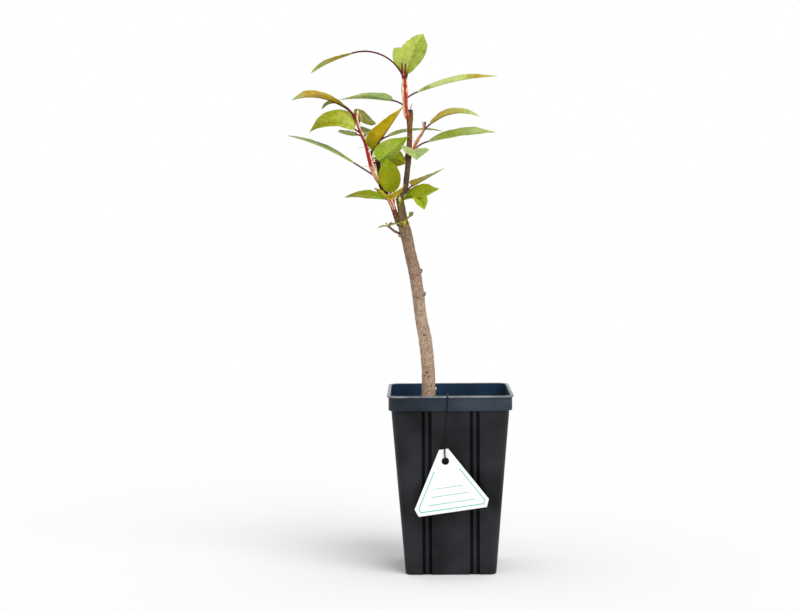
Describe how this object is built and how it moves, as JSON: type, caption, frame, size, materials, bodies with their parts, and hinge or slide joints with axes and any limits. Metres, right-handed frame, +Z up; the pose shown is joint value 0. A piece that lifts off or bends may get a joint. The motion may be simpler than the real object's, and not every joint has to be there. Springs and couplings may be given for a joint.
{
  "type": "potted bird cherry",
  "caption": "Young pruned bird cherry tree with leafy shoots, in a square black nursery pot of soil with a plain tag on a wire.",
  "frame": {"origin": "middle of the pot's flat underside", "axes": "+Z up along the pot and the trunk, -Y towards the front, where the tag hangs, +X to the right seen from the front"},
  "size_m": [0.1622, 0.0915, 0.3883],
  "materials": {
    "pot": "satin",
    "soil": "matte",
    "bark": "matte",
    "foliage": "matte",
    "tag": "satin",
    "wire": "satin"
  },
  "bodies": {
    "root": {"pot": "pot", "soil": "soil", "trunk": "bark", "leader": "bark", "left_bough": "bark", "top_shoot": "foliage", "left_shoot": "foliage", "right_shoot": "foliage", "spur_rosette": "foliage", "fork_shoot": "foliage", "low_left_sprout": "foliage", "low_right_sprout": "foliage", "tag": "tag", "tag_wire": "wire"}
  },
  "joints": []
}
